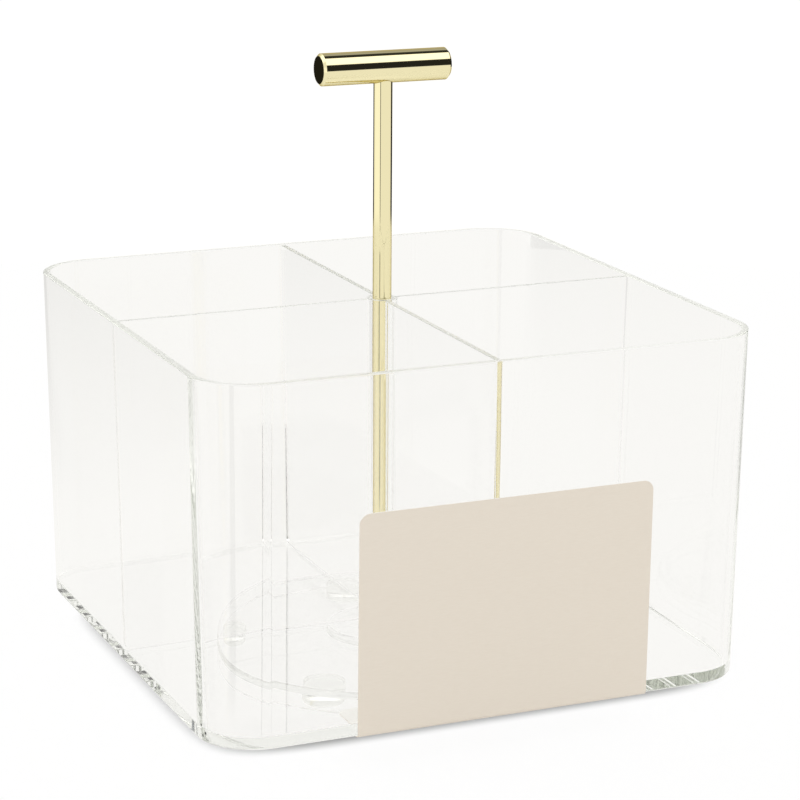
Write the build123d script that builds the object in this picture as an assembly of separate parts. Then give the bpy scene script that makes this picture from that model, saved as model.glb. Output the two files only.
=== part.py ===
from build123d import *
import os
from math import cos, radians, sin, tan

# Rotating desk organizer: a clear four-slot bin with a gold T-handle, turning on a low round dish.
# Millimetres, +Z up. The origin lies on the table, on the turning axis, and the wall that carries
# the card label faces -Y. Heights are stacked from the table upwards.

# Overall
OVERALL_HEIGHT = 184.0
OVERRUN = 2.0  # how far every cutting shape passes the face it cuts

# Clear bin
BIN_WIDTH = 166.0  # across the rim
BIN_HEIGHT = 101.7
BIN_DRAFT = 0.9  # degrees that each wall leans outwards
BIN_CORNER = 18.0  # outer corner radius at the rim
BIN_WALL = 2.2  # at the rim
BIN_WALL_LOW = 2.8  # at the floor
BIN_INNER_CORNER = 14.7  # inner corner radius at the rim
BIN_INNER_CORNER_LOW = 9.7  # and at the floor
BIN_FLOOR = 3.0
BIN_UNDER_EDGE = 0.8  # rounding of the outer edge under the floor
BIN_INNER_EDGE = 2.0  # rounding where the walls meet the floor
RIM_EASE = 0.35  # rounding along both edges of the rim

# Dividers and centre tube
DIVIDER_THICKNESS = 1.6
DIVIDER_DROP = 0.2  # top edge below the rim
DIVIDER_EASE = 0.2
TUBE_WALL = 1.5
TUBE_GAP = 0.35  # air between the rod and the tube
CEMENT = 0.05  # joint line of every cemented seat
DRY_SEAT = 0.05  # air film where a loose piece rests on clear plastic

# Gold handle
ROD_DIAMETER = 5.5
BAR_DIAMETER = 9.4
BAR_LENGTH = 39.7
BAR_CHAMFER = 0.7
BAR_SOCKET = 2.8  # depth of the bar's socket for the rod, from the bar's underside
SOCKET_CLEARANCE = 0.02
STUD_DIAMETER = 3.0
STUD_LENGTH = 13.0
STUD_IN_BAR = 4.0
THREAD_CLEARANCE = 0.05

# Pivot
BUSH_DIAMETER = 8.0
RUNNING_CLEARANCE = 0.05
END_PLAY = 0.2  # between the dish's plate and the clamp washer
SCREW_DIAMETER = 3.0
SCREW_CLEARANCE = 0.15
SCREW_HEAD_DIAMETER = 6.0
SCREW_HEAD_HEIGHT = 2.2
SCREW_HEAD_EDGE = 0.8
SCREW_HEAD_LIFT = 1.2  # screw's head above the table
SCREW_IN_ROD = 10.0
SCREW_TIP_ROOM = 2.0  # empty thread past the screw's tip
RECESS_WIDTH = 0.9  # cross recess in the screw's head
RECESS_LENGTH = 3.2
RECESS_DEPTH = 1.3
CLAMP_DIAMETER = 14.0
CLAMP_THICKNESS = 0.8
THRUST_DIAMETER = 14.0
THRUST_THICKNESS = 0.9
THRUST_CLEARANCE = 0.3

# Turntable dish
DISH_RADIUS = 55.5
DISH_PLATE = 2.2
DISH_SKIRT = 2.0  # skirt's wall
DISH_SKIRT_LIFT = 0.4  # skirt's lower edge above the table
DISH_EDGE = 1.4  # rounding of the dish's upper outer edge
HUB_DIAMETER = 32.0
HUB_RISE = 2.2  # hub above the dish's plate
HUB_ROOT_SHARE = 0.45  # rounding at the hub's root, as a share of its rise

# Glued bumper feet
FOOT_COUNT = 5
FOOT_DIAMETER = 12.2
FOOT_EDGE = 0.8
FOOT_INSET = 1.9  # between the foot and the inside of the skirt
FOOT_FIRST_ANGLE = 82.0
FOOT_GLUE = 0.05
DIMPLE_DIAMETER = 1.3  # moulding gate in the middle of the glued face
DIMPLE_DEPTH = 0.6

# Card label
LABEL_WIDTH = 88.0
LABEL_SHIFT = 3.1  # its middle lies this far to the right of the wall's middle
LABEL_RISE = 63.4  # top edge above the underside of the floor
LABEL_FLAP = 16.5  # depth of the part folded under the floor
LABEL_THICKNESS = 0.35
LABEL_CORNER = 3.0
LABEL_GLUE = 0.05

# Heights that follow
head_top = SCREW_HEAD_LIFT + SCREW_HEAD_HEIGHT
clamp_top = head_top + CLAMP_THICKNESS
plate_low = clamp_top + END_PLAY
dish_top = plate_low + DISH_PLATE
hub_top = dish_top + HUB_RISE
bin_base = hub_top + THRUST_THICKNESS + 2 * DRY_SEAT
floor_top = bin_base + BIN_FLOOR
rim_top = bin_base + BIN_HEIGHT
divider_top = rim_top - DIVIDER_DROP
bar_axis = OVERALL_HEIGHT - BAR_DIAMETER / 2
rod_top = OVERALL_HEIGHT - BAR_DIAMETER + BAR_SOCKET
stud_top = rod_top + STUD_IN_BAR

# Radii that follow
rod_radius = ROD_DIAMETER / 2
tube_inner = rod_radius + TUBE_GAP
tube_outer = tube_inner + TUBE_WALL
bush_radius = BUSH_DIAMETER / 2
hub_radius = HUB_DIAMETER / 2
foot_radius = FOOT_DIAMETER / 2
dimple_radius = DIMPLE_DIAMETER / 2
skirt_inner = DISH_RADIUS - DISH_SKIRT
foot_circle = skirt_inner - FOOT_INSET - foot_radius
screw_hole = SCREW_DIAMETER / 2 + SCREW_CLEARANCE
screw_thread = SCREW_DIAMETER / 2 + THREAD_CLEARANCE
stud_thread = STUD_DIAMETER / 2 + THREAD_CLEARANCE


def cylinder(radius, low, high):
    """Upright cylinder on the turning axis, between two heights."""
    return Pos(0, 0, low) * extrude(Circle(radius), amount=high - low)


def ring(outer, inner, low, high):
    """Upright ring on the turning axis, between two heights."""
    return cylinder(outer, low, high) - cylinder(inner, low - OVERRUN, high + OVERRUN)


def turned(outline, rounds):
    """Solid turned about the upright axis from (radius, height) corners, some of them rounded."""
    face = make_face(Polyline(*outline, close=True))
    for corner, radius in rounds.items():
        face = fillet(face.vertices().sort_by_distance(corner)[0], radius)
    return revolve(Plane.XZ * face, Axis.Z)


def drafted_block(inset, low, high, low_edge):
    """Solid of the bin's drafted outline, inset evenly, with its lower edge rounded."""
    draft_in = (rim_top - low) * tan(radians(BIN_DRAFT))
    half_width = BIN_WIDTH / 2 - inset - draft_in
    outline = RectangleRounded(2 * half_width, 2 * half_width, BIN_CORNER - inset - draft_in)
    block = extrude(Pos(0, 0, low) * outline, amount=high - low, taper=-BIN_DRAFT)
    return fillet(block.edges().group_by(Axis.Z)[0], low_edge)


def cavity_outline(height, clearance):
    """Outline of the space inside the bin at one height; walls and corners taper from rim to floor."""
    depth_share = (rim_top - height) / (rim_top - floor_top)
    wall = BIN_WALL + depth_share * (BIN_WALL_LOW - BIN_WALL)
    corner = BIN_INNER_CORNER + depth_share * (BIN_INNER_CORNER_LOW - BIN_INNER_CORNER)
    half_width = BIN_WIDTH / 2 - (rim_top - height) * tan(radians(BIN_DRAFT)) - wall - clearance
    return Pos(0, 0, height) * RectangleRounded(2 * half_width, 2 * half_width, corner - clearance)


def cavity(clearance):
    """The space inside the bin, less a clearance to its walls and floor."""
    low = cavity_outline(floor_top + clearance, clearance)
    high = cavity_outline(rim_top + OVERRUN, clearance)
    space = loft([low, high], ruled=True)
    return fillet(space.edges().group_by(Axis.Z)[0], BIN_INNER_EDGE)


def bin_shell():
    """Drafted bin with an eased rim and the pivot screw's hole in its floor."""
    shell = drafted_block(0, bin_base, rim_top, BIN_UNDER_EDGE) - cavity(0)
    shell -= cylinder(screw_hole, bin_base - OVERRUN, floor_top + OVERRUN)
    return fillet(shell.edges().group_by(Axis.Z)[-1], RIM_EASE)


def divider(angle):
    """Panel from the centre tube to one wall, cut to the wall's draft and the floor's rounding."""
    start = tube_outer + CEMENT
    reach = BIN_WIDTH / 2 - start
    sheet = Pos(0, -start - reach / 2, divider_top / 2) * Box(DIVIDER_THICKNESS, reach, divider_top)
    panel = sheet & cavity(CEMENT)
    top_edges = panel.edges().filter_by(Axis.Y).group_by(Axis.Z)[-1]
    return Rot(0, 0, angle) * fillet(top_edges, DIVIDER_EASE)


def centre_tube():
    """Clear tube that stands on the floor around the rod."""
    return ring(tube_outer, tube_inner, floor_top + CEMENT, divider_top)


def handle_rod():
    """Rod that stands on the floor, tapped at both ends."""
    rod = cylinder(rod_radius, floor_top + DRY_SEAT, rod_top)
    rod -= cylinder(screw_thread, floor_top - OVERRUN, floor_top + SCREW_IN_ROD + SCREW_TIP_ROOM)
    return rod - cylinder(stud_thread, stud_top - STUD_LENGTH - THREAD_CLEARANCE, rod_top + OVERRUN)


def handle_bar():
    """Cross-bar with chamfered ends, a socket for the rod and a tapped hole for the stud."""
    bar = Cylinder(BAR_DIAMETER / 2, BAR_LENGTH, rotation=(0, 90, 0))
    bar = Pos(0, 0, bar_axis) * chamfer(bar.edges().filter_by(GeomType.CIRCLE), BAR_CHAMFER)
    bar -= cylinder(rod_radius + SOCKET_CLEARANCE, rod_top - BAR_DIAMETER, rod_top)
    return bar - cylinder(stud_thread, rod_top - OVERRUN, stud_top + THREAD_CLEARANCE)


def handle_stud():
    """Headless stud between the rod and the bar."""
    return cylinder(STUD_DIAMETER / 2, stud_top - STUD_LENGTH, stud_top)


def pivot_screw():
    """Pan-head screw that runs up through the pivot and the floor into the rod."""
    head = cylinder(SCREW_HEAD_DIAMETER / 2, SCREW_HEAD_LIFT, head_top)
    head = fillet(head.edges().group_by(Axis.Z)[0], SCREW_HEAD_EDGE)
    slot = Pos(0, 0, SCREW_HEAD_LIFT) * Box(RECESS_LENGTH, RECESS_WIDTH, 2 * RECESS_DEPTH)
    head -= slot + Rot(0, 0, 90) * slot
    return head + cylinder(SCREW_DIAMETER / 2, head_top, floor_top + SCREW_IN_ROD)


def clamp_washer():
    """Wide washer that keeps the dish on the bush."""
    return ring(CLAMP_DIAMETER / 2, screw_hole, head_top, clamp_top)


def pivot_bush():
    """Sleeve clamped under the floor, on which the dish's hub turns."""
    return ring(bush_radius, screw_hole, clamp_top, bin_base - DRY_SEAT)


def thrust_washer():
    """Slippery ring on the hub that carries the bin's floor."""
    low = hub_top + DRY_SEAT
    return ring(THRUST_DIAMETER / 2, bush_radius + THRUST_CLEARANCE, low, low + THRUST_THICKNESS)


def foot_places():
    """Places of the feet on their circle."""
    for index in range(FOOT_COUNT):
        angle = radians(FOOT_FIRST_ANGLE + index * 360 / FOOT_COUNT)
        yield Pos(foot_circle * cos(angle), foot_circle * sin(angle), 0)


def turntable_base():
    """Inverted dish with a rounded edge and a raised hub."""
    bore = bush_radius + RUNNING_CLEARANCE
    upper_edge = (DISH_RADIUS, dish_top)
    hub_root = (hub_radius, dish_top)
    outline = [
        (bore, plate_low),
        (skirt_inner, plate_low),
        (skirt_inner, DISH_SKIRT_LIFT),
        (DISH_RADIUS, DISH_SKIRT_LIFT),
        upper_edge,
        hub_root,
        (hub_radius, hub_top),
        (bore, hub_top),
    ]
    return turned(outline, {upper_edge: DISH_EDGE, hub_root: HUB_ROOT_SHARE * HUB_RISE})


def foot(place):
    """Soft pad glued under the dish's plate, with its lower edge rounded and a gate dimple on top."""
    lower_edge = (foot_radius, 0)
    pad_top = plate_low - FOOT_GLUE
    dimple_low = pad_top - DIMPLE_DEPTH
    outline = [
        (0, 0),
        lower_edge,
        (foot_radius, pad_top),
        (dimple_radius, pad_top),
        (dimple_radius, dimple_low),
        (0, dimple_low),
    ]
    return place * turned(outline, {lower_edge: FOOT_EDGE})


def label_skin(growth):
    """The bin's outline grown by the label's glue or card, down past the floor too."""
    return drafted_block(-growth, bin_base - growth, rim_top, BIN_UNDER_EDGE + growth)


def product_label():
    """Thin card on the front wall, folded round the lower edge and under the floor."""
    front = BIN_WIDTH / 2 + OVERRUN
    floor_front = BIN_WIDTH / 2 - BIN_HEIGHT * tan(radians(BIN_DRAFT))
    depth = front - floor_front + LABEL_FLAP
    height = LABEL_RISE + OVERRUN
    middle = Pos(LABEL_SHIFT, depth / 2 - front, bin_base + LABEL_RISE - height / 2)
    window = middle * Box(LABEL_WIDTH, depth, height)
    top_corners = window.edges().filter_by(Axis.Y).group_by(Axis.Z)[-1]
    flap_corners = window.edges().filter_by(Axis.Z).group_by(Axis.Y)[-1]
    window = fillet(top_corners + flap_corners, LABEL_CORNER)
    return (label_skin(LABEL_GLUE + LABEL_THICKNESS) - label_skin(LABEL_GLUE)) & window


nodes = {
    "bin_shell": bin_shell(),
    "divider_front": divider(0),
    "divider_right": divider(90),
    "divider_rear": divider(180),
    "divider_left": divider(270),
    "centre_tube": centre_tube(),
    "handle_rod": handle_rod(),
    "handle_bar": handle_bar(),
    "handle_stud": handle_stud(),
    "pivot_screw": pivot_screw(),
    "clamp_washer": clamp_washer(),
    "pivot_bush": pivot_bush(),
    "thrust_washer": thrust_washer(),
    "turntable_base": turntable_base(),
    "product_label": product_label(),
}
for number, place in enumerate(foot_places(), start=1):
    nodes[f"foot_{number}"] = foot(place)

os.makedirs("parts", exist_ok=True)
for name, shape in nodes.items():
    shape.label = name
    export_step(shape, f"parts/{name}.step")
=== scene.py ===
"""Looks of the rotating desk organizer: its finishes, a white studio and the camera.

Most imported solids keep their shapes, and are dressed here in the finish that the real piece
has. The clear bin, its cross, the pivot screw and the feet are modelled anew, with what a plain
solid leaves out: even level lines, joints that the cement makes one, a thread, a soft crown.
"""

import logging
import math
from collections.abc import Callable
from dataclasses import dataclass, field
from enum import Enum
from typing import Any

import bpy
from mathutils import Matrix, Vector


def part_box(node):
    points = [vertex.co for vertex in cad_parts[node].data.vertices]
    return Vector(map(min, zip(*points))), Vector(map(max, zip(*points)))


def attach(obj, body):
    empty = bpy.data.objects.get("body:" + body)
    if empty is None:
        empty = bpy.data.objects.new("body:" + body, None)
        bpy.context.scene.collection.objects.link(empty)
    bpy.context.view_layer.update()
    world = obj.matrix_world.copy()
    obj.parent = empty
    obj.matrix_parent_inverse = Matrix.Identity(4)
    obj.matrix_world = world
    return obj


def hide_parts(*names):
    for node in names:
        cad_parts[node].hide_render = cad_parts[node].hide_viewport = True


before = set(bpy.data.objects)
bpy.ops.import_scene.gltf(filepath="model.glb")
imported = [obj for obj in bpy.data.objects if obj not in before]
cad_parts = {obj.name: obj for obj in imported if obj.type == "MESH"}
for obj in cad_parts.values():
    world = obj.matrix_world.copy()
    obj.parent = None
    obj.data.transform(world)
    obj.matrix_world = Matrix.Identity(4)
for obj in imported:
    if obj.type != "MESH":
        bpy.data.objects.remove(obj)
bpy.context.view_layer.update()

Tree = bpy.types.NodeTree
Node = bpy.types.Node
Socket = bpy.types.NodeSocket
Piece = bpy.types.Object

MM = 0.001
COPY_WELD_MM = 0.002
# Numbers of the colour sockets on Blender's mix node.
COLOUR_A, COLOUR_B, COLOUR_OUT = 6, 7, 2
log = logging.getLogger("organizer")


class Slot(Enum):
    """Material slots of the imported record."""

    CLEAR_PLASTIC = "clear_plastic"
    GOLD_METAL = "gold_metal"
    STEEL = "steel"
    BEARING_PLASTIC = "bearing_plastic"
    SOFT_FEET = "soft_feet"
    CARD = "card"


class Body(Enum):
    """Moving bodies of the part."""

    BIN = "bin"
    TURNTABLE = "turntable"


class Along(Enum):
    """Axis that the drawing lines of a bar follow."""

    X = 0
    Z = 2


def linear(hex_colour: str) -> tuple[float, float, float, float]:
    """Turns an sRGB hex colour into the linear colour that a socket takes.

    Args:
        hex_colour: six hex digits, such as "E1D9CE".

    Returns:
        Red, green, blue and an alpha of 1.
    """
    levels = [int(hex_colour[place:place + 2], 16) / 255 for place in (0, 2, 4)]
    curve = [c / 12.92 if c <= 0.04045 else ((c + 0.055) / 1.055) ** 2.4 for c in levels]
    return (curve[0], curve[1], curve[2], 1.0)


def add_node(tree: Tree, kind: str, inputs: dict[Any, Any] | None = None, **settings: Any) -> Node:
    """Adds a node with its settings, and fills or links its inputs.

    Args:
        tree: the node tree that gets the node.
        kind: Blender's type name of the node.
        inputs: input name or number, with a value or an output socket to link.
        **settings: properties of the node.

    Returns:
        The new node.
    """
    node = tree.nodes.new(kind)
    for name, value in settings.items():
        setattr(node, name, value)
    for key, value in (inputs or {}).items():
        if isinstance(value, Socket):
            tree.links.new(value, node.inputs[key])
        else:
            node.inputs[key].default_value = value
    return node


def calc(tree: Tree, operation: str, *values: Any) -> Socket:
    """Adds a sum to a node tree.

    Args:
        tree: the node tree.
        operation: Blender's name of the operation.
        *values: the numbers or sockets that it takes.

    Returns:
        The result's socket.
    """
    return add_node(tree, "ShaderNodeMath", dict(enumerate(values)), operation=operation).outputs[0]


def spread(
    tree: Tree, value: Socket, span: tuple[float, float], levels: tuple[Any, Any], smooth: bool = False
) -> Socket:
    """Maps a span of a value onto two levels, which hold beyond the span.

    Args:
        tree: the node tree.
        value: the value's socket.
        span: where the change starts and ends.
        levels: what it changes from and to, as numbers or sockets.
        smooth: whether the change eases in and out.

    Returns:
        The level's socket.
    """
    inputs = {
        "Value": value,
        "From Min": span[0],
        "From Max": span[1],
        "To Min": levels[0],
        "To Max": levels[1],
    }
    kind = "SMOOTHSTEP" if smooth else "LINEAR"
    return add_node(tree, "ShaderNodeMapRange", inputs, interpolation_type=kind).outputs["Result"]


def blend(tree: Tree, share: Socket, first: Any, second: Any) -> Socket:
    """Mixes two colours.

    Args:
        tree: the node tree.
        share: the second colour's share.
        first: the first colour, or its socket.
        second: the second colour, or its socket.

    Returns:
        The mixed colour's socket.
    """
    inputs = {0: share, COLOUR_A: first, COLOUR_B: second}
    return add_node(tree, "ShaderNodeMix", inputs, data_type="RGBA").outputs[COLOUR_OUT]


def blend_level(tree: Tree, share: Socket, first: Any, second: Any) -> Socket:
    """Mixes two levels, each a number or a socket, by the second one's share."""
    inputs = {"Factor": share, "A": first, "B": second}
    return add_node(tree, "ShaderNodeMix", inputs, data_type="FLOAT").outputs[0]


def noise(tree: Tree, place: Socket, scale: float, detail: float, curl: float = 0.0) -> Socket:
    """Adds a noise pattern.

    Args:
        tree: the node tree.
        place: the place that the pattern is read at.
        scale: the pattern's spots to a unit of place.
        detail: how many finer layers it has.
        curl: how far it is distorted.

    Returns:
        The pattern's socket, about 0.5 in the middle.
    """
    inputs = {"Vector": place, "Scale": scale, "Detail": detail, "Distortion": curl}
    return add_node(tree, "ShaderNodeTexNoise", inputs).outputs["Fac"]


def relief(tree: Tree, height: Socket, strength: float, depth_mm: float) -> Socket:
    """Turns a pattern into a surface relief.

    Args:
        tree: the node tree.
        height: the pattern.
        strength: how much of the relief shows.
        depth_mm: the pattern's full depth.

    Returns:
        The normal's socket.
    """
    inputs = {"Height": height, "Strength": strength, "Distance": depth_mm * MM}
    return add_node(tree, "ShaderNodeBump", inputs).outputs["Normal"]


@dataclass(frozen=True)
class Finish:
    """A real material and the way its surface was made."""

    name: str
    slot: Slot

    def material(self) -> bpy.types.Material:
        """Makes the material once, from what the finish says of its surface and its inside.

        Returns:
            The material.
        """
        if self.name in bpy.data.materials:
            return bpy.data.materials[self.name]
        made = bpy.data.materials.new(self.name)
        made.use_nodes = True
        tree = made.node_tree
        tree.nodes.clear()
        shader = add_node(tree, "ShaderNodeBsdfPrincipled", self.surface(tree))
        ends = {"Surface": shader.outputs["BSDF"], **self.inside(tree)}
        add_node(tree, "ShaderNodeOutputMaterial", ends)
        return made

    def surface(self, tree: Tree) -> dict[str, Any]:
        """Adds the finish's pattern.

        Args:
            tree: the material's node tree.

        Returns:
            The surface shader's inputs.
        """
        raise NotImplementedError

    def inside(self, tree: Tree) -> dict[str, Any]:
        """Inputs of the output node for what lies under the surface: none in most finishes."""
        return {}


@dataclass(frozen=True)
class MouldedAcrylic(Finish):
    """Acrylic moulded in a polished tool.

    It is water-clear across its walls, and grey-green where the eye looks along a wall,
    because the light has come a long way through it. Handling leaves a trace of haze, and
    the trimmed edge at the top is satin.
    """

    body: str = "FFFFFF"
    depth_tint: str = "E5E8E1"
    depth_density: float = 2.2
    ior: float = 1.49
    haze_mm: float = 9.0
    haze_detail: float = 4.0
    haze_span: tuple[float, float] = (0.5, 0.75)
    haze: tuple[float, float] = (0.0, 0.010)
    trim_mm: tuple[float, float] = (111.1, 111.2)
    trim_haze: float = 0.30

    def surface(self, tree: Tree) -> dict[str, Any]:
        """Clear body with a trace of haze in the gloss and a satin top edge.

        Args:
            tree: the material's node tree.

        Returns:
            The surface shader's inputs.
        """
        place = add_node(tree, "ShaderNodeTexCoord").outputs["Object"]
        wear = noise(tree, place, 1 / (self.haze_mm * MM), self.haze_detail)
        gloss = spread(tree, wear, self.haze_span, self.haze)
        height = add_node(tree, "ShaderNodeSeparateXYZ", {"Vector": place}).outputs["Z"]
        low, high = self.trim_mm
        satin = spread(tree, height, (low * MM, high * MM), (0.0, self.trim_haze))
        return {
            "Base Color": linear(self.body),
            "IOR": self.ior,
            "Transmission Weight": 1.0,
            "Roughness": calc(tree, "MAXIMUM", gloss, satin),
        }

    def inside(self, tree: Tree) -> dict[str, Any]:
        """Tints light by the length of its way through the plastic."""
        tint = {"Color": linear(self.depth_tint), "Density": self.depth_density}
        return {"Volume": add_node(tree, "ShaderNodeVolumeAbsorption", tint).outputs["Volume"]}


@dataclass(frozen=True)
class PlatedGold(Finish):
    """Drawn steel bar, polished and plated in pale gold.

    It is a warm mirror that darkens at its edges, with faint lines from the drawing die
    that blur a reflection along the bar.
    """

    along: Along = Along.Z
    tone: str = "F2E9BE"
    edge_tone: str = "B5A67C"
    line_mm: float = 0.5
    line_length_mm: float = 60.0
    line_detail: float = 2.0
    line_span: tuple[float, float] = (0.3, 0.7)
    gloss: tuple[float, float] = (0.02, 0.05)
    line_depth_mm: float = 0.0001

    def surface(self, tree: Tree) -> dict[str, Any]:
        """Gold mirror with drawing lines in its gloss and relief.

        Args:
            tree: the material's node tree.

        Returns:
            The surface shader's inputs.
        """
        place = add_node(tree, "ShaderNodeTexCoord").outputs["Object"]
        scale = [1 / (self.line_mm * MM)] * 3
        scale[self.along.value] = 1 / (self.line_length_mm * MM)
        stretch = add_node(tree, "ShaderNodeMapping", {"Vector": place, "Scale": scale})
        lines = noise(tree, stretch.outputs["Vector"], 1.0, self.line_detail)
        return {
            "Base Color": linear(self.tone),
            "Specular Tint": linear(self.edge_tone),
            "Metallic": 1.0,
            "Roughness": spread(tree, lines, self.line_span, self.gloss),
            "Normal": relief(tree, lines, 1.0, self.line_depth_mm),
        }


@dataclass(frozen=True)
class ZincPlatedSteel(Finish):
    """Turned steel in bright zinc: cool grey, satin, slightly cloudy from the plating bath."""

    tone: str = "C2C6CA"
    cloud_tone: str = "A9ADB2"
    cloud_mm: float = 1.6
    cloud_detail: float = 3.0
    gloss: tuple[float, float] = (0.20, 0.36)

    def surface(self, tree: Tree) -> dict[str, Any]:
        """Cloudy grey metal whose gloss follows the clouds.

        Args:
            tree: the material's node tree.

        Returns:
            The surface shader's inputs.
        """
        place = add_node(tree, "ShaderNodeTexCoord").outputs["Object"]
        clouds = noise(tree, place, 1 / (self.cloud_mm * MM), self.cloud_detail)
        return {
            "Base Color": blend(tree, clouds, linear(self.tone), linear(self.cloud_tone)),
            "Metallic": 1.0,
            "Roughness": spread(tree, clouds, (0.0, 1.0), self.gloss),
        }


@dataclass(frozen=True)
class MouldedAcetal(Finish):
    """Natural acetal, moulded in a spark-eroded tool: milky white, with a fine satin grain."""

    tone: str = "F2F1EB"
    shade: str = "E9E8E1"
    ior: float = 1.48
    gloss: float = 0.38
    grain_mm: float = 0.4
    grain_detail: float = 2.0
    grain_strength: float = 0.6
    grain_depth_mm: float = 0.01

    def surface(self, tree: Tree) -> dict[str, Any]:
        """Milky white with a fine grain in its relief.

        Args:
            tree: the material's node tree.

        Returns:
            The surface shader's inputs.
        """
        place = add_node(tree, "ShaderNodeTexCoord").outputs["Object"]
        grain = noise(tree, place, 1 / (self.grain_mm * MM), self.grain_detail)
        return {
            "Base Color": blend(tree, grain, linear(self.shade), linear(self.tone)),
            "IOR": self.ior,
            "Roughness": self.gloss,
            "Normal": relief(tree, grain, self.grain_strength, self.grain_depth_mm),
        }


@dataclass(frozen=True)
class SoftVinyl(Finish):
    """Clear soft vinyl cast in a mould: see-through, a little cloudy, with a greasy gloss."""

    body: str = "F6F7F4"
    ior: float = 1.50
    cloud_mm: float = 2.5
    cloud_detail: float = 2.0
    cloud_span: tuple[float, float] = (0.35, 0.65)
    gloss: tuple[float, float] = (0.02, 0.10)

    def surface(self, tree: Tree) -> dict[str, Any]:
        """Clear body with a cloudy gloss.

        Args:
            tree: the material's node tree.

        Returns:
            The surface shader's inputs.
        """
        place = add_node(tree, "ShaderNodeTexCoord").outputs["Object"]
        clouds = noise(tree, place, 1 / (self.cloud_mm * MM), self.cloud_detail)
        return {
            "Base Color": linear(self.body),
            "IOR": self.ior,
            "Transmission Weight": 1.0,
            "Roughness": spread(tree, clouds, self.cloud_span, self.gloss),
        }


@dataclass(frozen=True)
class UncoatedCard(Finish):
    """Smooth uncoated card: matt, with short fibres, printed pale beige on its outer side only."""

    tone: str = "E3DBD0"
    fibre_tone: str = "DED5C9"
    bare: str = "F4F3F0"
    gloss: float = 0.85
    sheen: float = 0.25
    back_limit: float = 0.5
    fibre_mm: float = 0.35
    fibre_length_mm: float = 2.2
    fibre_detail: float = 3.0
    fibre_curl: float = 0.6
    fibre_strength: float = 0.5
    fibre_depth_mm: float = 0.008

    def surface(self, tree: Tree) -> dict[str, Any]:
        """Pale beige outside and bare inside, with fibres in its colour and relief.

        Args:
            tree: the material's node tree.

        Returns:
            The surface shader's inputs.
        """
        place = add_node(tree, "ShaderNodeTexCoord")
        across, along = 1 / (self.fibre_mm * MM), 1 / (self.fibre_length_mm * MM)
        stretch = add_node(
            tree, "ShaderNodeMapping", {"Vector": place.outputs["Object"], "Scale": (along, across, across)}
        )
        fibres = noise(tree, stretch.outputs["Vector"], 1.0, self.fibre_detail, self.fibre_curl)
        printed = blend(tree, fibres, linear(self.fibre_tone), linear(self.tone))
        facing = add_node(tree, "ShaderNodeSeparateXYZ", {"Vector": place.outputs["Normal"]})
        inward = calc(tree, "MAXIMUM", facing.outputs["Y"], facing.outputs["Z"])
        back = calc(tree, "GREATER_THAN", inward, self.back_limit)
        return {
            "Base Color": blend(tree, back, printed, linear(self.bare)),
            "Roughness": self.gloss,
            "Specular IOR Level": self.sheen,
            "Normal": relief(tree, fibres, self.fibre_strength, self.fibre_depth_mm),
        }


def dress(names: list[str], finish: Finish) -> None:
    """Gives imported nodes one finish.

    Args:
        names: the nodes' names.
        finish: what they are made of.
    """
    material = finish.material()
    for name in names:
        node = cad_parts[name]
        node.data.materials.clear()
        node.data.materials.append(material)
        log.info("%s wears %s", name, finish.name)


def fit_piece(piece: Piece, finish: Finish, body: Body, nodes: list[str]) -> None:
    """Dresses a new piece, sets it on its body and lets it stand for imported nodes.

    Args:
        piece: the finished object.
        finish: what it is made of.
        body: the body that carries it.
        nodes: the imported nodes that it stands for.
    """
    piece.data.materials.clear()
    piece.data.materials.append(finish.material())
    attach(piece, body.value)
    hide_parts(*nodes)
    log.info("%s replaces %s", piece.name, ", ".join(nodes))


def start_alone() -> None:
    """Leaves edit mode and deselects everything."""
    if bpy.context.mode != "OBJECT":
        bpy.ops.object.mode_set(mode="OBJECT")
    bpy.ops.object.select_all(action="DESELECT")


def activate(piece: Piece) -> None:
    """Selects one object alone and makes it the active one.

    Args:
        piece: the object.
    """
    start_alone()
    piece.select_set(True)
    bpy.context.view_layer.objects.active = piece


def select_where(piece: Piece, chosen: Callable[[Vector], bool]) -> None:
    """Selects the points that are meant, with the edges and faces between them.

    Args:
        piece: the object, in object mode.
        chosen: tells from a point's place whether it is meant.
    """
    points = piece.data.vertices
    for point in points:
        point.select = chosen(point.co)
    for part in (*piece.data.edges, *piece.data.polygons):
        part.select = all(points[corner].select for corner in part.vertices)


def node_copy(name: str) -> Piece:
    """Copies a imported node's mesh into a new object, with its doubles merged.

    Args:
        name: the node's name.

    Returns:
        The copy, active and selected.
    """
    copy = bpy.data.objects.new(f"{name}_copy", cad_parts[name].data.copy())
    bpy.context.scene.collection.objects.link(copy)
    activate(copy)
    bpy.ops.object.mode_set(mode="EDIT")
    bpy.ops.mesh.select_all(action="SELECT")
    bpy.ops.mesh.remove_doubles(threshold=COPY_WELD_MM * MM)
    bpy.ops.mesh.customdata_custom_splitnormals_clear()
    bpy.ops.object.mode_set(mode="OBJECT")
    return copy


def combine(piece: Piece, tool: Piece, operation: str) -> None:
    """Joins a tool to a piece, or cuts it out, and deletes the tool.

    Args:
        piece: the object that stays.
        tool: the object that is used up.
        operation: "UNION" or "DIFFERENCE".
    """
    activate(piece)
    step = piece.modifiers.new("combine", "BOOLEAN")
    step.operation = operation
    step.solver = "EXACT"
    step.object = tool
    bpy.ops.object.modifier_apply(modifier=step.name)
    bpy.data.objects.remove(tool, do_unlink=True)


def settle_normals(piece: Piece, angle_degrees: float) -> None:
    """Shades a piece smooth across its roundings and leaves its flats flat.

    Args:
        piece: the object.
        angle_degrees: edges sharper than this stay sharp.
    """
    activate(piece)
    bpy.ops.object.shade_smooth_by_angle(angle=math.radians(angle_degrees))
    even = piece.modifiers.new("even", "WEIGHTED_NORMAL")
    even.mode = "FACE_AREA"
    even.weight = 100
    even.keep_sharp = True
    bpy.ops.object.modifier_apply(modifier=even.name)


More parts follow.
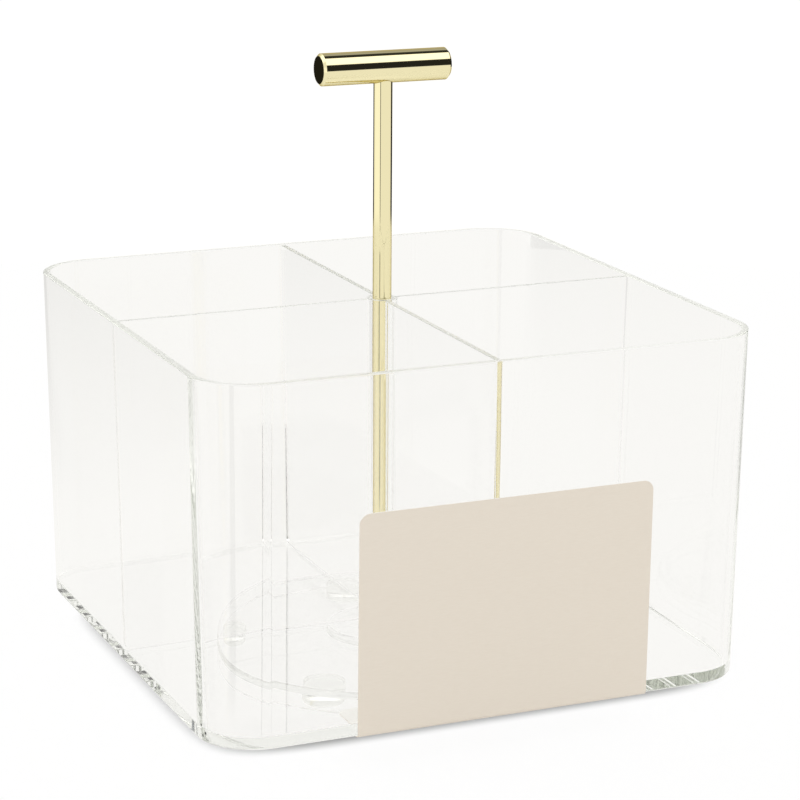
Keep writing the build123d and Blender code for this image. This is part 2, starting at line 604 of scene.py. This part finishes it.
@dataclass(frozen=True)
class LevelLine:
    """Outline of a square shell at one height: half its width and its corner radius, in mm."""

    half: float
    corner: float
    height: float


@dataclass
class ClearBin:
    """Moulded bin with its cross of panels and the centre tube, all clear."""

    finish: MouldedAcrylic = MouldedAcrylic("moulded_acrylic", Slot.CLEAR_PLASTIC)
    width_mm: float = 166.0
    draft_degrees: float = 0.9
    corner_mm: float = 18.0
    wall_mm: float = 2.2
    wall_low_mm: float = 2.8
    inner_corner_mm: float = 14.7
    inner_corner_low_mm: float = 12.6
    floor_mm: float = 3.0
    under_edge_mm: float = 0.8
    inner_edge_mm: float = 0.5
    rim_ease_mm: float = 0.35
    screw_hole_mm: float = 3.3
    hole_steps: int = 48
    corner_steps: int = 32
    wall_rows: int = 12
    round_steps: int = 6
    crease_degrees: float = 35.0
    panels: dict[str, tuple[int, int]] = field(default_factory=lambda: {
        "divider_front": (0, -1),
        "divider_right": (1, 0),
        "divider_rear": (0, 1),
        "divider_left": (-1, 0),
    })
    tube: str = "centre_tube"
    root_reach_mm: float = 5.2
    root_sink_mm: float = 0.55

    @property
    def line_points(self) -> int:
        """Points on each level line."""
        return 4 * (self.corner_steps + 1)

    def build(self) -> None:
        """Builds the shell and the cross."""
        fit_piece(self.shell(), self.finish, Body.BIN, ["bin_shell"])
        cross = node_copy(self.tube)
        for name, direction in self.panels.items():
            combine(cross, self.rooted_panel(name, direction), "UNION")
        settle_normals(cross, self.crease_degrees)
        cross.name = "cemented_cross"
        fit_piece(cross, self.finish, Body.BIN, [*self.panels, self.tube])

    def outer_line(self, height: float, rim: float, inset: float) -> LevelLine:
        """Outside of the drafted wall at a height, less an inset, in mm."""
        lean = (rim - height) * math.tan(math.radians(self.draft_degrees))
        return LevelLine(self.width_mm / 2 - lean - inset, self.corner_mm - lean - inset, height)

    def inner_line(self, height: float, base: float, rim: float, inset: float) -> LevelLine:
        """Inside of the tapering wall at a height.

        Args:
            height: the line's height, in mm.
            base: height of the underside, in mm.
            rim: height of the rim, in mm.
            inset: how far the line is drawn in, in mm.

        Returns:
            The line.
        """
        deep_share = (rim - height) / (rim - base - self.floor_mm)
        wall = self.wall_mm + deep_share * (self.wall_low_mm - self.wall_mm)
        corner = self.inner_corner_mm + deep_share * (self.inner_corner_low_mm - self.inner_corner_mm)
        lean = (rim - height) * math.tan(math.radians(self.draft_degrees))
        return LevelLine(self.width_mm / 2 - lean - wall - inset, corner - inset, height)

    def level_lines(self, base: float, rim: float) -> list[LevelLine]:
        """Lines from the underside, up outside, over the rim and down inside to the floor.

        Args:
            base: height of the underside, in mm.
            rim: height of the rim, in mm.

        Returns:
            The lines in order.
        """
        turns = [math.pi / 2 * step / self.round_steps for step in range(self.round_steps + 1)]
        floor = base + self.floor_mm
        lines = []
        for turn in turns:
            low = base + self.under_edge_mm * (1 - math.cos(turn))
            lines.append(self.outer_line(low, rim, self.under_edge_mm * (1 - math.sin(turn))))
        for turn in turns:
            high = rim - self.rim_ease_mm * (1 - math.sin(turn))
            lines.append(self.outer_line(high, rim, self.rim_ease_mm * (1 - math.cos(turn))))
        for turn in turns:
            high = rim - self.rim_ease_mm * (1 - math.cos(turn))
            lines.append(self.inner_line(high, base, rim, -self.rim_ease_mm * (1 - math.sin(turn))))
        top, bottom = rim - self.rim_ease_mm, floor + self.inner_edge_mm
        for row in range(1, self.wall_rows):
            lines.append(self.inner_line(top + (bottom - top) * row / self.wall_rows, base, rim, 0.0))
        for turn in turns:
            low = floor + self.inner_edge_mm * (1 - math.sin(turn))
            lines.append(self.inner_line(low, base, rim, self.inner_edge_mm * (1 - math.cos(turn))))
        return lines

    def shell(self) -> Piece:
        """Draws the level lines, bridges each to the next, closes the ends and drills the floor.

        Returns:
            The finished shell.
        """
        low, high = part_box("bin_shell")
        lines = self.level_lines(low[2] / MM, high[2] / MM)
        start_alone()
        bpy.ops.mesh.primitive_plane_add(size=2 * lines[0].half * MM, location=(0, 0, lines[0].height * MM))
        shell = bpy.context.active_object
        bpy.ops.object.transform_apply(location=True)
        bpy.ops.object.mode_set(mode="EDIT")
        for line in lines:
            if line is not lines[0]:
                bpy.ops.mesh.primitive_plane_add(size=2 * line.half * MM, location=(0, 0, line.height * MM))
            bpy.ops.mesh.bevel(
                offset=line.corner * MM, segments=self.corner_steps, affect="VERTICES", clamp_overlap=False
            )
            bpy.ops.mesh.delete(type="ONLY_FACE")
        count = self.line_points
        for place in range(len(lines) - 1):
            self.select_points(shell, place * count, (place + 2) * count)
            bpy.ops.mesh.bridge_edge_loops()
        for first in (0, (len(lines) - 1) * count):
            self.select_points(shell, first, first + count)
            bpy.ops.mesh.edge_face_add()
        bpy.ops.mesh.select_all(action="SELECT")
        bpy.ops.mesh.normals_make_consistent(inside=False)
        bpy.ops.object.mode_set(mode="OBJECT")
        combine(shell, self.drill(low[2], lines[-1].height * MM), "DIFFERENCE")
        settle_normals(shell, self.crease_degrees)
        shell.name = "bin_moulding"
        return shell

    def select_points(self, piece: Piece, first: int, end: int) -> None:
        """Selects a run of points, with the edges along each level line, and stays in edit mode.

        Args:
            piece: the object that the lines are drawn in.
            first: number of the first point.
            end: number after the last point.
        """
        bpy.ops.object.mode_set(mode="OBJECT")
        for point in piece.data.vertices:
            point.select = first <= point.index < end
        for edge in piece.data.edges:
            one, two = edge.vertices
            same_line = one // self.line_points == two // self.line_points
            edge.select = same_line and first <= one < end and first <= two < end
        for side in piece.data.polygons:
            side.select = False
        bpy.ops.object.mode_set(mode="EDIT")
        bpy.ops.mesh.select_mode(type="EDGE")

    def drill(self, low: float, high: float) -> Piece:
        """Makes the drill for the pivot screw's hole, twice as long as the floor is thick.

        Args:
            low: height of the floor's underside, in metres.
            high: height of the floor's upper side, in metres.

        Returns:
            The cutting tool.
        """
        start_alone()
        bpy.ops.mesh.primitive_cylinder_add(
            vertices=self.hole_steps, radius=self.screw_hole_mm / 2 * MM,
            depth=2 * (high - low), location=(0, 0, (low + high) / 2),
        )
        bpy.ops.object.transform_apply(location=True)
        return bpy.context.active_object

    def rooted_panel(self, name: str, direction: tuple[int, int]) -> Piece:
        """Copies a panel and sinks its inner end into the tube's wall, as the cement joins them.

        Args:
            name: the panel's node.
            direction: the way from the tube to the panel.

        Returns:
            The panel's copy.
        """
        panel = node_copy(name)
        way = Vector((*direction, 0))
        select_where(panel, lambda place: place.dot(way) < self.root_reach_mm * MM)
        bpy.ops.object.mode_set(mode="EDIT")
        bpy.ops.mesh.select_mode(type="VERT")
        bpy.ops.transform.translate(value=-way * self.root_sink_mm * MM)
        bpy.ops.object.mode_set(mode="OBJECT")
        return panel


@dataclass
class THandle:
    """Gold rod and cross-bar, with the stud that joins them inside."""

    rod_finish: PlatedGold = PlatedGold("plated_gold_rod", Slot.GOLD_METAL, Along.Z)
    bar_finish: PlatedGold = PlatedGold("plated_gold_bar", Slot.GOLD_METAL, Along.X)
    stud_finish: ZincPlatedSteel = ZincPlatedSteel("zinc_plated_stud", Slot.STEEL)

    def build(self) -> None:
        """Dresses the handle's pieces."""
        dress(["handle_rod"], self.rod_finish)
        dress(["handle_bar"], self.bar_finish)
        dress(["handle_stud"], self.stud_finish)


@dataclass
class Pivot:
    """Screw, washers and bush on which the bin turns."""

    steel: ZincPlatedSteel = ZincPlatedSteel("zinc_plated_steel", Slot.STEEL)
    acetal: MouldedAcetal = MouldedAcetal("moulded_acetal", Slot.BEARING_PLASTIC)
    major_mm: float = 3.0
    pitch_mm: float = 0.5
    thread_depth_mm: float = 0.30
    crest_shares: tuple[float, float] = (0.42, 0.58)
    spare_turns: int = 2
    turn_steps: int = 24
    weld_mm: float = 0.001
    head_mm: float = 6.0
    head_height_mm: float = 2.2
    head_round_mm: float = 0.9
    head_sink_mm: float = 0.4
    head_steps: int = 48
    head_round_steps: int = 5
    face_slack_mm: float = 0.1
    recess_length_mm: float = 3.2
    recess_width_mm: float = 0.9
    recess_depth_mm: float = 1.3
    recess_taper_share: float = 0.55
    crease_degrees: float = 35.0

    def build(self) -> None:
        """Builds the threaded screw and dresses the rest."""
        dress(["clamp_washer"], self.steel)
        dress(["pivot_bush", "thrust_washer"], self.acetal)
        low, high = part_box("pivot_screw")
        screw = self.threaded_shank(low[2] + self.head_height_mm * MM, high[2])
        combine(screw, self.pan_head(low[2]), "UNION")
        settle_normals(screw, self.crease_degrees)
        screw.name = "threaded_screw"
        fit_piece(screw, self.steel, Body.BIN, ["pivot_screw"])

    def flank(self, low: float) -> Piece:
        """Draws one turn of the thread's outline: out to the crest, along it and back to the root.

        Args:
            low: height at which the outline starts, in metres.

        Returns:
            The outline, an open line of three edges.
        """
        crest = self.major_mm / 2 * MM
        root = crest - self.thread_depth_mm * MM
        pitch = self.pitch_mm * MM
        first, second = self.crest_shares
        turns = ((root, 0.0), (crest, first * pitch), (crest, second * pitch), (root, pitch))
        corners = [Vector((radius, 0.0, low + rise)) for radius, rise in turns]
        start_alone()
        bpy.ops.mesh.primitive_plane_add(size=pitch, location=(0, 0, 0))
        bpy.ops.object.mode_set(mode="EDIT")
        bpy.ops.mesh.select_mode(type="VERT")
        bpy.ops.mesh.merge(type="CENTER")
        bpy.ops.transform.translate(value=corners[0])
        for start, end in zip(corners, corners[1:]):
            bpy.ops.mesh.extrude_region_move(TRANSFORM_OT_translate={"value": end - start})
        bpy.ops.object.mode_set(mode="OBJECT")
        return bpy.context.active_object

    def threaded_shank(self, low: float, high: float) -> Piece:
        """Winds one flank of the thread up the shank and cuts both ends flat.

        Args:
            low: height of the underside of the head, in metres.
            high: height of the screw's tip, in metres.

        Returns:
            The closed shank.
        """
        pitch = self.pitch_mm * MM
        below = low - self.spare_turns * pitch
        shank = self.flank(below)
        wind = shank.modifiers.new("wind", "SCREW")
        wind.axis = "Z"
        wind.angle = 2 * math.pi
        wind.screw_offset = pitch
        wind.iterations = math.ceil((high - below) / pitch) + self.spare_turns
        wind.steps = wind.render_steps = self.turn_steps
        wind.use_merge_vertices = True
        bpy.ops.object.modifier_apply(modifier=wind.name)
        bpy.ops.object.mode_set(mode="EDIT")
        bpy.ops.mesh.select_all(action="SELECT")
        bpy.ops.mesh.remove_doubles(threshold=self.weld_mm * MM)
        for height, lower in ((low - self.head_sink_mm * MM, True), (high, False)):
            bpy.ops.mesh.select_all(action="SELECT")
            bpy.ops.mesh.bisect(
                plane_co=(0, 0, height), plane_no=(0, 0, 1), use_fill=True,
                clear_inner=lower, clear_outer=not lower,
            )
        bpy.ops.mesh.select_all(action="SELECT")
        bpy.ops.mesh.normals_make_consistent(inside=False)
        bpy.ops.object.mode_set(mode="OBJECT")
        return shank

    def pan_head(self, low: float) -> Piece:
        """Turns the rounded head and cuts its cross recess.

        Args:
            low: height of the head's outer face, in metres.

        Returns:
            The head.
        """
        start_alone()
        height = self.head_height_mm * MM
        bpy.ops.mesh.primitive_cylinder_add(
            vertices=self.head_steps, radius=self.head_mm / 2 * MM, depth=height,
            location=(0, 0, low + height / 2),
        )
        head = bpy.context.active_object
        bpy.ops.object.transform_apply(location=True, rotation=True, scale=True)
        select_where(head, lambda place: place.z < low + self.face_slack_mm * MM)
        bpy.ops.object.mode_set(mode="EDIT")
        bpy.ops.mesh.select_mode(type="EDGE")
        bpy.ops.mesh.bevel(
            offset=self.head_round_mm * MM, segments=self.head_round_steps, affect="EDGES"
        )
        bpy.ops.object.mode_set(mode="OBJECT")
        for turn in (0.0, math.pi / 2):
            combine(head, self.recess_blade(low, turn), "DIFFERENCE")
        return head

    def recess_blade(self, low: float, turn: float) -> Piece:
        """Makes one tapered blade of the cross recess.

        Args:
            low: height of the head's outer face, in metres.
            turn: the blade's turn about the upright axis, in radians.

        Returns:
            The cutting tool.
        """
        start_alone()
        bpy.ops.mesh.primitive_cube_add(size=1.0, location=(0, 0, low), rotation=(0, 0, turn))
        blade = bpy.context.active_object
        blade.scale = (self.recess_length_mm * MM, self.recess_width_mm * MM, 2 * self.recess_depth_mm * MM)
        bpy.ops.object.transform_apply(location=True, rotation=True, scale=True)
        select_where(blade, lambda place: place.z > low)
        bpy.ops.object.mode_set(mode="EDIT")
        bpy.ops.mesh.select_mode(type="VERT")
        taper = (self.recess_taper_share, self.recess_taper_share, 1.0)
        bpy.ops.transform.resize(value=taper, center_override=(0, 0, low))
        bpy.ops.object.mode_set(mode="OBJECT")
        return blade


@dataclass
class Turntable:
    """Clear dish with five soft feet under it."""

    dish_finish: MouldedAcrylic = MouldedAcrylic(
        "moulded_acrylic_dish", Slot.CLEAR_PLASTIC, haze=(0.02, 0.07)
    )
    foot_finish: SoftVinyl = SoftVinyl("soft_vinyl", Slot.SOFT_FEET)
    feet: tuple[str, ...] = ("foot_1", "foot_2", "foot_3", "foot_4", "foot_5")
    foot_steps: int = 72
    edge_mm: float = 0.8
    edge_steps: int = 6
    dimple_mm: float = 1.3
    dimple_slope_share: float = 0.125
    dimple_depth_mm: float = 0.6
    bulge_share: float = 0.012
    bulge_level_shares: tuple[float, ...] = (0.35, 0.5, 0.65, 0.8)
    face_slack_mm: float = 0.01
    crease_degrees: float = 40.0

    def build(self) -> None:
        """Dresses the dish, models one foot and copies it to all five places."""
        dress(["turntable_base"], self.dish_finish)
        low, high = (Vector(corner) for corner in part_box(self.feet[0]))
        model = self.foot((high.x - low.x) / 2, high.z - low.z)
        for name in self.feet:
            low, high = (Vector(corner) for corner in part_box(name))
            activate(model)
            bpy.ops.object.duplicate()
            foot = bpy.context.active_object
            bpy.ops.transform.translate(value=((low.x + high.x) / 2, (low.y + high.y) / 2, low.z))
            bpy.ops.object.transform_apply(location=True)
            foot.name = f"soft_{name}"
            fit_piece(foot, self.foot_finish, Body.TURNTABLE, [name])
        bpy.data.objects.remove(model, do_unlink=True)

    def foot(self, radius: float, height: float) -> Piece:
        """Models a bumper: rounded below, bulging a little under the load, with its gate's dimple.

        Args:
            radius: half the foot's width, in metres.
            height: the foot's height, in metres.

        Returns:
            The foot, standing on the origin.
        """
        start_alone()
        bpy.ops.mesh.primitive_cylinder_add(
            vertices=self.foot_steps, radius=radius, depth=height, location=(0, 0, height / 2)
        )
        foot = bpy.context.active_object
        bpy.ops.object.transform_apply(location=True)
        bpy.ops.object.mode_set(mode="EDIT")
        bpy.ops.mesh.select_mode(type="FACE")
        self.select_end(foot, height)
        bpy.ops.mesh.inset(thickness=radius - self.dimple_mm / 2 * MM)
        bpy.ops.mesh.inset(thickness=self.dimple_slope_share * self.dimple_mm * MM)
        bpy.ops.transform.translate(value=(0, 0, -self.dimple_depth_mm * MM))
        self.select_end(foot, 0.0)
        bpy.ops.mesh.bevel(offset=self.edge_mm * MM, segments=self.edge_steps, affect="EDGES")
        for level in self.bulge_level_shares:
            bpy.ops.mesh.select_all(action="SELECT")
            bpy.ops.mesh.bisect(plane_co=(0, 0, level * height), plane_no=(0, 0, 1))
            swell = 1 + self.bulge_share * math.sin(math.pi * level)
            bpy.ops.transform.resize(value=(swell, swell, 1), center_override=(0, 0, 0))
        bpy.ops.mesh.select_all(action="SELECT")
        bpy.ops.mesh.normals_make_consistent(inside=False)
        bpy.ops.object.mode_set(mode="OBJECT")
        settle_normals(foot, self.crease_degrees)
        return foot

    def select_end(self, foot: Piece, height: float) -> None:
        """Selects the flat face at one end of the foot, and stays in edit mode.

        Args:
            foot: the foot, in edit mode.
            height: the end's height, in metres.
        """
        bpy.ops.mesh.select_all(action="DESELECT")
        bpy.ops.object.mode_set(mode="OBJECT")
        slack = self.face_slack_mm * MM
        ends = [side for side in foot.data.polygons if abs(side.center.z - height) < slack]
        max(ends, key=lambda side: side.area).select = True
        bpy.ops.object.mode_set(mode="EDIT")


@dataclass
class CardLabel:
    """Card on the front wall, folded under the floor."""

    finish: UncoatedCard = UncoatedCard("uncoated_card", Slot.CARD)

    def build(self) -> None:
        """Dresses the card."""
        dress(["product_label"], self.finish)


@dataclass(frozen=True)
class Panel:
    """Bright or dark panel of the studio, by the directions that it fills, in degrees.

    Azimuth is 0 straight behind the object as the camera sees it, and grows to the right.
    """

    left: float
    right: float
    low: float
    high: float
    level: float
    soft: float


@dataclass
class Studio:
    """White studio: a round table in soft light, with bright and dark panels far around it.

    The clear walls mostly show the table and the white behind it. The gold sees past the table's
    edge to the panels, which give it its dark edges, its band and its highlight. Lengths whose
    names have no unit are in metres.
    """

    floor_radius: float = 0.59
    floor_steps: int = 128
    floor_drop_mm: float = 0.05
    floor_colour: str = "FAFAFA"
    lit_colour: str = "FFFFFF"
    matte_share: float = 0.06
    paper_tone: str = "FFFEFB"
    # Painted shadow on the table at the bin's foot, drawn as a rounded square of these sizes.
    under_middle: tuple[float, float, float] = (0.0075, 0.0097, 0.0)
    under_half: tuple[float, float, float] = (0.0804, 0.0707, 1.0)
    under_reach_shares: tuple[float, float] = (0.94, 1.06)
    painted_shadow_level: float = 0.30
    outline_power: float = 8.0
    # Light of the table and the background, to the camera and to what mirrors them.
    camera_level: float = 1.0
    backdrop_level: float = 1.04
    seen_level: float = 0.955
    # Shade far behind at the left, which only the object's walls show.
    shade_level: float = 0.72
    shade_azimuth: tuple[float, float] = (-58.0, -34.0)
    shade_soft: float = 8.0
    shade_reach: tuple[float, float] = (0.20, 0.58)
    # Thin dark strip in front, on the table too for light that was mirrored before.
    strip: Panel = Panel(-155.5, -149.5, -90, 4, 0.03, 1)
    strip_reach: tuple[float, float] = (0.14, 0.18)
    dome_level: float = 1.05
    # Between no bounce and one.
    bounce_limit: float = 0.5
    bounces: int = 400
    panels: tuple[Panel, ...] = (
        # Bright ceiling, and a bright wall at the left.
        Panel(-180, 180, 40, 90, 1.5, 8),
        Panel(-147, -56, -90, 10, 1.12, 6),
        # Dim patch high behind, with a dark core.
        Panel(-20, 62, 34, 72, 0.5, 10),
        Panel(-20, 62, 60, 70, 0.03, 8),
        # Dark flags low behind, at the left and at the right.
        Panel(-54, -15, -90, 2, 0.02, 3),
        Panel(15, 62, -90, 2, 0.02, 6),
        # Dark room in front, and the strip under its left end.
        Panel(118, 180, -3.5, 33, 0.02, 3),
        Panel(-180, -150, -3.5, 33, 0.02, 3),
        strip,
        # Pale ground beyond the table.
        Panel(-180, 180, -90, -11.5, seen_level, 0.4),
    )

    def window(self, tree: Tree, value: Socket, low: float, high: float, soft: float) -> Socket:
        """Marks where a value lies between two limits, with soft ends.

        Args:
            tree: the node tree.
            value: the value's socket.
            low: lower limit.
            high: upper limit.
            soft: width of each soft end, outside the limits.

        Returns:
            A socket that is 1 between the limits and 0 far from them.
        """
        rise = spread(tree, value, (low - soft, low), (0.0, 1.0), smooth=True)
        fall = spread(tree, value, (high, high + soft), (1.0, 0.0), smooth=True)
        return calc(tree, "MULTIPLY", rise, fall)

    def bearing(self, tree: Tree, vector: Socket, yaw: float) -> tuple[Socket, Socket]:
        """Azimuth of a direction or place, as the camera's own left and right.

        Args:
            tree: the node tree.
            vector: the direction or place.
            yaw: the camera's turn about the upright axis, in radians.

        Returns:
            The azimuth in degrees, and the vector's height.
        """
        turned = add_node(
            tree, "ShaderNodeVectorRotate", {"Vector": vector, "Angle": -yaw}, rotation_type="Z_AXIS"
        )
        split = add_node(tree, "ShaderNodeSeparateXYZ", {"Vector": turned.outputs["Vector"]})
        angle = calc(tree, "ARCTAN2", split.outputs["X"], split.outputs["Y"])
        return calc(tree, "DEGREES", angle), split.outputs["Z"]

    def painted_under_shadow(self, tree: Tree, place: Socket) -> Socket:
        """Painted shadow on the table: its glow drawn weaker, the farther a place lies in under the square
        bin.

        Args:
            tree: the node tree.
            place: the place on the table.

        Returns:
            The strength of the glow, with the painted shadow in it.
        """
        steps = (("SUBTRACT", {1: self.under_middle}), ("DIVIDE", {1: self.under_half}), ("ABSOLUTE", {}))
        for operation, other in steps:
            place = add_node(
                tree, "ShaderNodeVectorMath", {0: place, **other}, operation=operation
            ).outputs[0]
        split = add_node(tree, "ShaderNodeSeparateXYZ", {"Vector": place})
        powers = [calc(tree, "POWER", split.outputs[axis], self.outline_power) for axis in "XY"]
        reach = calc(tree, "POWER", calc(tree, "ADD", *powers), 1 / self.outline_power)
        levels = (self.painted_shadow_level, self.camera_level)
        return spread(tree, reach, self.under_reach_shares, levels, smooth=True)

    def mirror_level(self, tree: Tree, place: Socket, glossy_depth: Socket, yaw: float) -> Socket:
        """Light of the table as the object shows it: even, with the shade behind and the strip.

        Args:
            tree: the node tree.
            place: the place on the table.
            glossy_depth: how often the light was mirrored before.
            yaw: the camera's turn about the upright axis, in radians.

        Returns:
            The light's strength.
        """
        azimuth, _ = self.bearing(tree, place, yaw)
        far = add_node(tree, "ShaderNodeVectorMath", {0: place}, operation="LENGTH").outputs["Value"]
        shade_width = self.window(tree, azimuth, *self.shade_azimuth, self.shade_soft)
        shade_depth = spread(tree, far, self.shade_reach, (0.0, 1.0))
        shade_share = calc(tree, "MULTIPLY", shade_width, shade_depth)
        shade = blend_level(tree, shade_share, self.seen_level, self.shade_level)
        bounced = calc(tree, "GREATER_THAN", glossy_depth, self.bounce_limit)
        strip_width = self.window(tree, azimuth, self.strip.left, self.strip.right, self.strip.soft)
        strip_depth = spread(tree, far, self.strip_reach, (0.0, bounced))
        strip_share = calc(tree, "MULTIPLY", strip_width, strip_depth)
        return blend_level(tree, strip_share, shade, self.strip.level)

    def table_material(self, yaw: float) -> bpy.types.Material:
        """Makes the table's white: a glow with a painted shadow under the bin for the camera, paper for the
        object's walls, else matt.

        Args:
            yaw: the camera's turn about the upright axis, in radians.

        Returns:
            The material.
        """
        material = bpy.data.materials.new("white_table")
        material.use_nodes = True
        tree = material.node_tree
        tree.nodes.clear()
        path = add_node(tree, "ShaderNodeLightPath").outputs
        place = add_node(tree, "ShaderNodeTexCoord").outputs["Object"]
        matte = add_node(tree, "ShaderNodeBsdfDiffuse", {"Color": linear(self.floor_colour)}).outputs[0]
        # Glow of the table for the camera, with the painted shadow under the bin.
        glow_with_painted_shadow = self.painted_under_shadow(tree, place)
        painted_shadow_glow = {"Color": linear(self.lit_colour), "Strength": glow_with_painted_shadow}
        lit = add_node(tree, "ShaderNodeEmission", painted_shadow_glow).outputs[0]
        paper_level = self.mirror_level(tree, place, path["Glossy Depth"], yaw)
        paper_light = {"Color": linear(self.paper_tone), "Strength": paper_level}
        seen = add_node(tree, "ShaderNodeEmission", paper_light).outputs[0]
        shown = calc(tree, "MAXIMUM", path["Is Glossy Ray"], path["Is Transmission Ray"])
        direct = add_node(tree, "ShaderNodeMixShader", {0: self.matte_share, 1: lit, 2: matte}).outputs[0]
        other = add_node(tree, "ShaderNodeMixShader", {0: shown, 1: matte, 2: seen}).outputs[0]
        every = add_node(tree, "ShaderNodeMixShader", {0: path["Is Camera Ray"], 1: other, 2: direct})
        add_node(tree, "ShaderNodeOutputMaterial", {"Surface": every.outputs[0]})
        return material

    def build_floor(self, yaw: float) -> None:
        """Adds the round table top, a hair under the feet.

        Args:
            yaw: the camera's turn about the upright axis, in radians.
        """
        start_alone()
        bpy.ops.mesh.primitive_circle_add(
            vertices=self.floor_steps, radius=self.floor_radius, fill_type="NGON",
            location=(0, 0, -self.floor_drop_mm * MM),
        )
        floor = bpy.context.active_object
        bpy.ops.object.transform_apply(location=True)
        floor.name = "table_top"
        floor.data.materials.append(self.table_material(yaw))

    def build_world(self, yaw: float) -> None:
        """Wires the studio's light and panels into the world.

        Args:
            yaw: the camera's turn about the upright axis, in radians.
        """
        world = bpy.data.worlds.new("studio")
        bpy.context.scene.world = world
        world.use_nodes = True
        world.cycles.sampling_method = "NONE"
        tree = world.node_tree
        tree.nodes.clear()
        look = add_node(tree, "ShaderNodeTexCoord").outputs["Generated"]
        azimuth, rise = self.bearing(tree, look, yaw)
        height = calc(tree, "DEGREES", calc(tree, "ARCSINE", rise))
        level: Any = self.seen_level
        for panel in self.panels:
            across = self.window(tree, azimuth, panel.left, panel.right, panel.soft)
            upward = self.window(tree, height, panel.low, panel.high, panel.soft)
            level = blend_level(tree, calc(tree, "MULTIPLY", across, upward), level, panel.level)
        path = add_node(tree, "ShaderNodeLightPath").outputs
        matte = calc(tree, "GREATER_THAN", path["Diffuse Depth"], self.bounce_limit)
        lit = blend_level(tree, matte, level, self.dome_level)
        shown = blend_level(tree, path["Is Camera Ray"], lit, self.backdrop_level)
        light = add_node(
            tree, "ShaderNodeBackground", {"Color": linear(self.paper_tone), "Strength": shown}
        )
        add_node(tree, "ShaderNodeOutputWorld", {"Surface": light.outputs[0]})

    def set_light_paths(self) -> None:
        """Lets light bounce often enough to run down inside the clear walls."""
        paths = bpy.context.scene.cycles
        paths.max_bounces = self.bounces
        paths.transmission_bounces = self.bounces
        paths.glossy_bounces = self.bounces
        paths.blur_glossy = 0.0


@dataclass
class PhotoCamera:
    """Camera at the photograph's viewing angle."""

    place_mm: tuple[float, float, float] = (-315.34, -747.27, 296.09)
    yaw_degrees: float = -23.267
    pitch_degrees: float = 14.901
    roll_degrees: float = 0.378
    lens_mm: float = 127.57

    def build(self) -> None:
        """Adds the camera and makes it the scene's own."""
        lens = bpy.data.cameras.new("photo_camera")
        lens.lens = self.lens_mm
        camera = bpy.data.objects.new("photo_camera", lens)
        bpy.context.scene.collection.objects.link(camera)
        turn = (
            Matrix.Rotation(math.radians(self.yaw_degrees), 4, "Z")
            @ Matrix.Rotation(math.radians(90 - self.pitch_degrees), 4, "X")
            @ Matrix.Rotation(math.radians(self.roll_degrees), 4, "Z")
        )
        camera.matrix_world = Matrix.Translation(Vector(self.place_mm) * MM) @ turn
        bpy.context.scene.camera = camera


def main() -> None:
    """Builds the classes in order."""
    logging.basicConfig(level=logging.INFO, format="%(message)s")
    bpy.context.scene.view_settings.view_transform = "Standard"
    for assembly in (ClearBin(), THandle(), Pivot(), Turntable(), CardLabel()):
        assembly.build()
    camera = PhotoCamera()
    camera.build()
    studio = Studio()
    yaw = math.radians(camera.yaw_degrees)
    studio.build_floor(yaw)
    studio.build_world(yaw)
    studio.set_light_paths()


if __name__ == "__main__":
    main()
